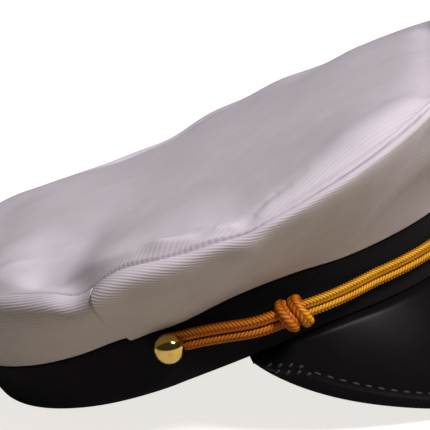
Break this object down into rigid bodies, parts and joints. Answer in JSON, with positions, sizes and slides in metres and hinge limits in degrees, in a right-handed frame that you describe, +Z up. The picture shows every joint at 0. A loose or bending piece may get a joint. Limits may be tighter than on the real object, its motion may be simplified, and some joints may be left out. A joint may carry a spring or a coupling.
{
  "type": "peaked sailor cap",
  "caption": "Soft white peaked sailor cap with a black band, a glossy black peak and a gold chin cord between brass side buttons; it stands on a surface on its peak and the back of its rim.",
  "frame": {"origin": "middle of the cap's footprint, on the surface that it stands on", "axes": "+Z up; the peak points along -Y; the wearer's right side is towards -X"},
  "size_m": [0.219, 0.2586, 0.1448],
  "materials": {
    "white_twill": "matt cotton twill",
    "black_band": "matt woven mohair braid",
    "black_vinyl": "gloss, moulded",
    "gold_cord": "satin braided thread",
    "brass": "polished"
  },
  "bodies": {
    "root": {"crown_top": "white_twill", "crown_side_front": "white_twill", "crown_side_back": "white_twill", "band": "black_band", "peak": "black_vinyl", "chin_cord": "gold_cord", "knot_right": "gold_cord", "knot_left": "gold_cord", "button_right": "brass", "button_left": "brass"}
  },
  "joints": []
}
